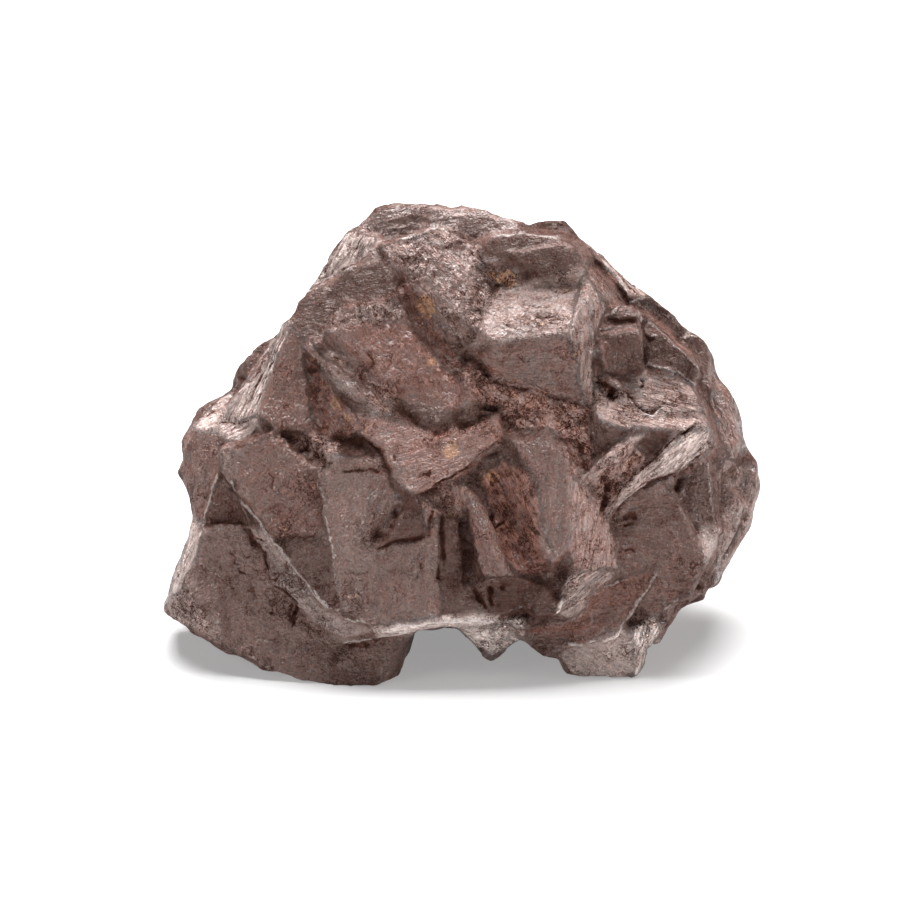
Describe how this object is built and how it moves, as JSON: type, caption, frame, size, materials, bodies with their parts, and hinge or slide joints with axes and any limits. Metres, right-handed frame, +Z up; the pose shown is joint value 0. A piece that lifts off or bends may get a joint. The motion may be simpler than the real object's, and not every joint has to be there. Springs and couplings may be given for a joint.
{
  "type": "prophecy stone",
  "caption": "Fist-like lump of intergrown blocky and plate-like crystals, dark brown iron oxide, resting on its feet as a display stone.",
  "frame": {"origin": "middle of the stone's box in X and Y, on the surface it rests on", "axes": "+Z up; +X along the stone's longest side, to the right as the broad front is seen; the broad front faces -Y and leans back by 20 degrees"},
  "size_m": [0.0456, 0.0328, 0.033],
  "materials": {
    "iron_oxide": "satin"
  },
  "bodies": {
    "root": {"stone": "iron_oxide"}
  },
  "joints": []
}
